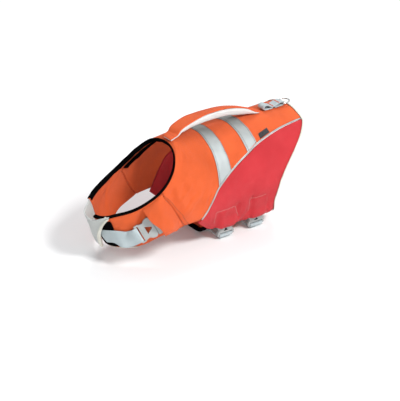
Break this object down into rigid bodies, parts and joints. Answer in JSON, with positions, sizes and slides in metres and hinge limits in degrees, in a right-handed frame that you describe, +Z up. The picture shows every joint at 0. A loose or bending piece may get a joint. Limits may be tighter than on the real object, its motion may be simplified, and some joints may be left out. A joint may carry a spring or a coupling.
{
  "type": "dog life jacket",
  "caption": "Dog life jacket in its worn form, with padded handle, leash ring, chest flap and side-release buckles, empty.",
  "frame": {"origin": "on the spine line of the back panel's inner side, 130 mm ahead of the middle of the rear hem, where the wearer's back carries the jacket", "axes": "+X along the spine towards the tail, +Z up, -Y towards the wearer's left, where the buckles are"},
  "size_m": [0.4071, 0.1773, 0.208],
  "materials": {
    "orange_cloth": "plain woven, matt",
    "red_cloth": "plain woven, matt",
    "black_cloth": "woven tape, matt",
    "cream_binding": "folded bias binding",
    "pale_cloth": "soft woven, matt",
    "reflective_tape": "silver tape, slight sheen",
    "grey_webbing": "woven webbing",
    "grey_plastic": "moulded, fine texture",
    "nickel_wire": "bright round wire"
  },
  "bodies": {
    "jacket": {"back_panel": "orange_cloth", "side_panel_left": "red_cloth", "side_panel_right": "red_cloth", "piping_left": "reflective_tape", "piping_right": "reflective_tape", "tape_front": "reflective_tape", "tape_rear": "reflective_tape", "yoke_left": "orange_cloth", "yoke_right": "orange_cloth", "chest_flap": "pale_cloth", "loop_patch": "black_cloth", "chest_webbing": "grey_webbing", "buckle_cover": "orange_cloth", "belly_panel": "orange_cloth", "hem_binding": "cream_binding", "neck_binding": "black_cloth", "flap_binding": "cream_binding", "tongue_binding": "cream_binding", "belly_binding_front": "black_cloth", "belly_binding_rear": "black_cloth", "neck_lining": "black_cloth", "label_tab": "black_cloth", "handle_strap": "orange_cloth", "handle_pad": "pale_cloth", "ring_strap": "grey_webbing", "chest_buckle_prongs": "grey_plastic", "chest_buckle_body": "grey_plastic", "belly_buckle_front_prongs": "grey_plastic", "belly_buckle_front_body": "grey_plastic", "belly_buckle_rear_prongs": "grey_plastic", "belly_buckle_rear_body": "grey_plastic", "belly_strap_front": "grey_webbing", "belly_strap_rear": "grey_webbing"},
    "ring": {"d_ring": "nickel_wire"}
  },
  "joints": [
    {"name": "ring_swing", "type": "hinge", "parent": "jacket", "child": "ring", "pos_m": [0.1184, 0, 0.0095], "axis": [0, -1, 0], "range_deg": [-6, 150]}
  ]
}
